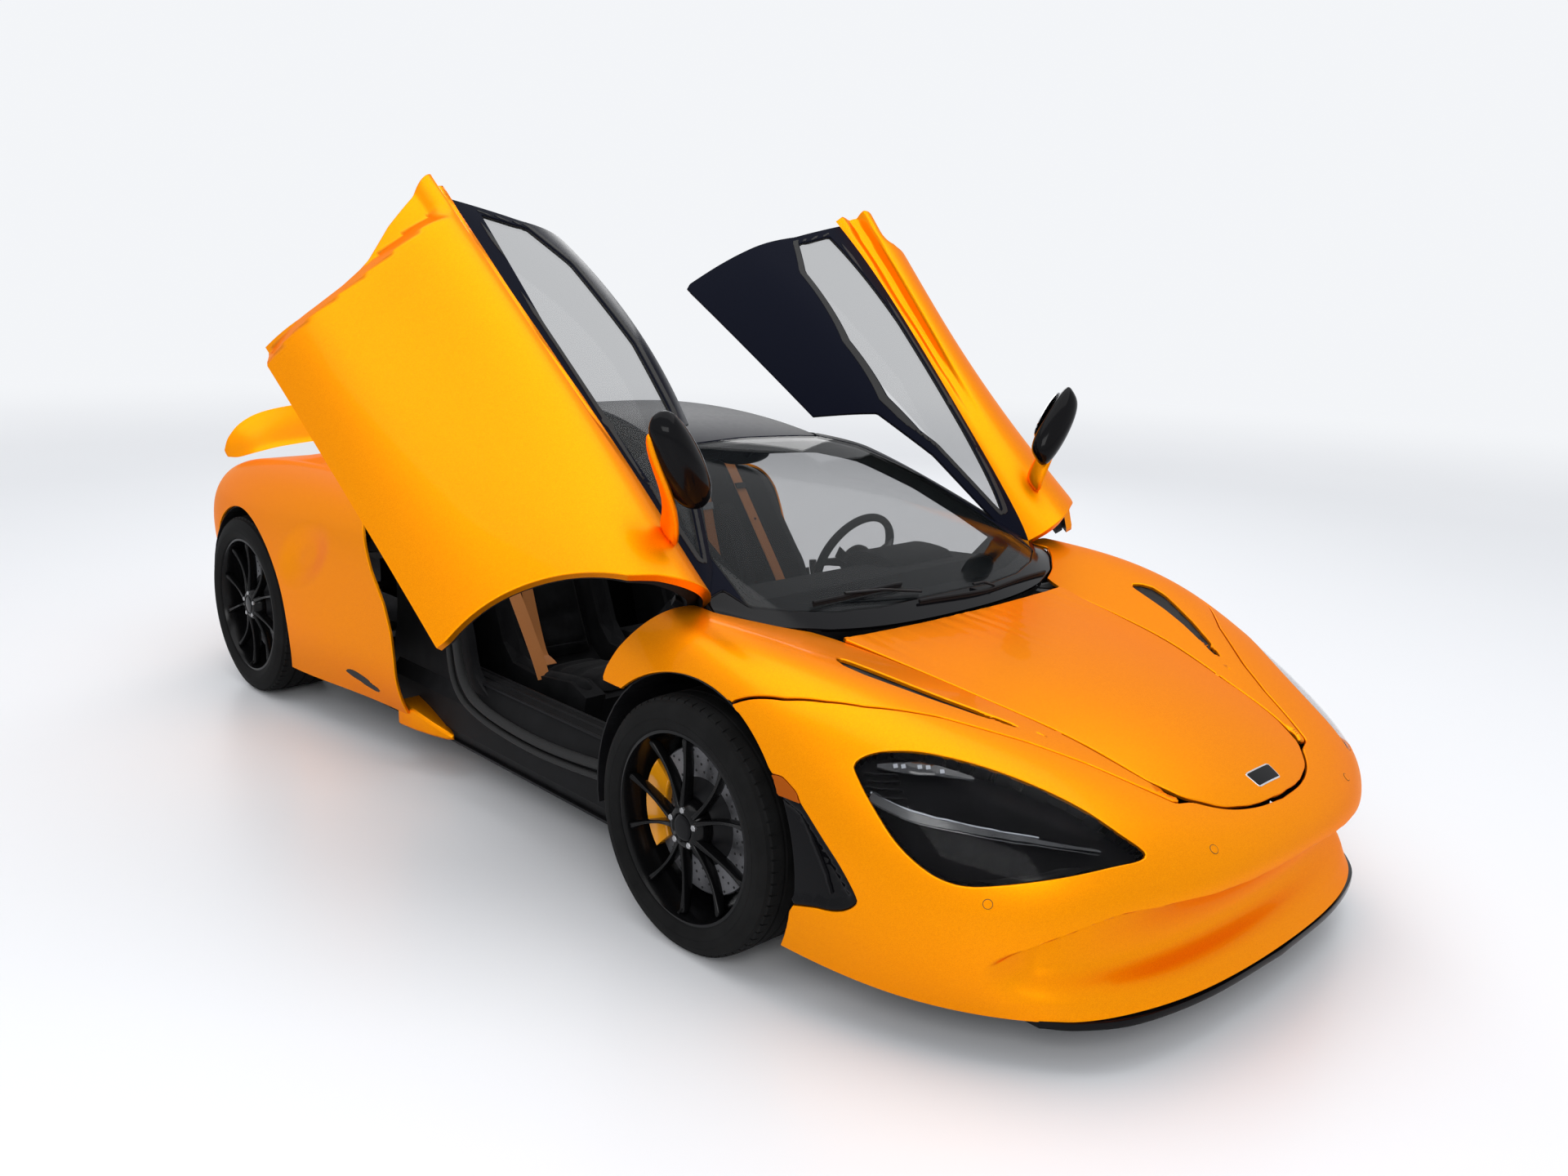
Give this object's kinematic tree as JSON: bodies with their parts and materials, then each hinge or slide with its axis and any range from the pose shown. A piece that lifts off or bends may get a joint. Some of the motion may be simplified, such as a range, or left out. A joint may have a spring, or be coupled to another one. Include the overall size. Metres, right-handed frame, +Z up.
{
  "type": "supercar",
  "caption": "Mid-engined two-seat supercar with upward-swinging doors open, raised rear wing, bonnet lid, steered front wheels and a hollow cabin.",
  "frame": {"origin": "on the ground under the middle of the body's length and width", "axes": "+X forward, +Y to the car's left, +Z up"},
  "size_m": [4.568, 2.8126, 1.8992],
  "materials": {
    "body_paint": "orange metallic paint",
    "black_gloss": "gloss black",
    "glass": "lightly tinted",
    "wheel_black": "gloss black",
    "tyre": "matt rubber",
    "cast_metal": "cast",
    "caliper_paint": "gloss yellow-orange",
    "frame_metal": "satin",
    "exhaust_steel": "brushed",
    "carbon_black": "satin black",
    "trim_black": "soft-touch black",
    "seat_trim": "black suede-like cloth",
    "belt_tan": "woven tan",
    "lamp_red": "clear red"
  },
  "bodies": {
    "root": {"arch_liners": "carbon_black", "calipers_rear": "caliper_paint", "cowl": "black_gloss", "dashboard": "trim_black", "diffuser": "black_gloss", "drive_shafts": "cast_metal", "engine": "cast_metal", "engine_cover": "body_paint", "exhaust": "exhaust_steel", "fender_l": "body_paint", "fender_r": "body_paint", "floor_tray": "carbon_black", "front_bumper": "body_paint", "front_frame": "frame_metal", "headlamps": "black_gloss", "knuckles_rear": "cast_metal", "luggage_bay": "carbon_black", "passenger_cell": "carbon_black", "quarter_l": "body_paint", "quarter_r": "body_paint", "rear_bumper": "body_paint", "rear_frame": "frame_metal", "rear_window": "glass", "rear_wing": "body_paint", "roof": "black_gloss", "seat_belts": "belt_tan", "seat_l": "seat_trim", "seat_r": "seat_trim", "side_blades": "black_gloss", "splitter": "black_gloss", "suspension_arms": "cast_metal", "tail_lamps": "lamp_red", "windscreen": "glass", "wing_struts": "black_gloss", "wipers": "black_gloss"},
    "left_door": {"door_l": "body_paint", "door_glass_l": "glass", "mirror_l": "body_paint"},
    "right_door": {"door_r": "body_paint", "door_glass_r": "glass", "mirror_r": "body_paint"},
    "front_left_wheel": {"wheel_fl": "wheel_black", "tyre_fl": "tyre"},
    "front_right_wheel": {"wheel_fr": "wheel_black", "tyre_fr": "tyre"},
    "rear_left_wheel": {"wheel_rl": "wheel_black", "tyre_rl": "tyre"},
    "rear_right_wheel": {"wheel_rr": "wheel_black", "tyre_rr": "tyre"},
    "left_knuckle": {"knuckle_fl": "cast_metal", "caliper_fl": "caliper_paint"},
    "right_knuckle": {"knuckle_fr": "cast_metal", "caliper_fr": "caliper_paint"},
    "lid": {"front_lid": "body_paint"},
    "handwheel": {"steering_wheel": "trim_black"}
  },
  "joints": [
    {"name": "left_steer", "type": "hinge", "parent": "root", "child": "left_knuckle", "pos_m": [1.155, 0.8, 0.327], "axis": [0, 0, 1], "range_deg": [-30, 30]},
    {"name": "right_steer", "type": "hinge", "parent": "root", "child": "right_knuckle", "pos_m": [1.155, -0.8, 0.327], "axis": [0, 0, 1], "range_deg": [-30, 30]},
    {"name": "steering_wheel_turn", "type": "hinge", "parent": "root", "child": "handwheel", "pos_m": [0.47, 0.36, 0.715], "axis": [0.9272, 0, -0.3746], "range_deg": [-450, 450]},
    {"name": "front_left_roll", "type": "hinge", "parent": "left_knuckle", "child": "front_left_wheel", "pos_m": [1.155, 0.84, 0.327], "axis": [0, 1, 0], "continuous": true},
    {"name": "front_right_roll", "type": "hinge", "parent": "right_knuckle", "child": "front_right_wheel", "pos_m": [1.155, -0.84, 0.327], "axis": [0, 1, 0], "continuous": true},
    {"name": "rear_left_roll", "type": "hinge", "parent": "root", "child": "rear_left_wheel", "pos_m": [-1.515, 0.8145, 0.3455], "axis": [0, 1, 0], "continuous": true},
    {"name": "rear_right_roll", "type": "hinge", "parent": "root", "child": "rear_right_wheel", "pos_m": [-1.515, -0.8145, 0.3455], "axis": [0, 1, 0], "continuous": true},
    {"name": "left_door_swing", "type": "hinge", "parent": "root", "child": "left_door", "pos_m": [0.917, 0.689, 0.781], "axis": [-0.7498, -0.5459, 0.3739], "range_deg": [0, 64.76]},
    {"name": "right_door_swing", "type": "hinge", "parent": "root", "child": "right_door", "pos_m": [0.917, -0.689, 0.781], "axis": [0.7498, -0.5459, -0.3739], "range_deg": [0, 64.76]},
    {"name": "lid_hinge", "type": "hinge", "parent": "root", "child": "lid", "pos_m": [1.229, 0, 0.739], "axis": [0, -1, 0], "range_deg": [0, 50]}
  ],
  "couplings": [
    {"joint": "right_steer", "follows": "left_steer", "ratio": 1},
    {"joint": "steering_wheel_turn", "follows": "left_steer", "ratio": 15}
  ]
}
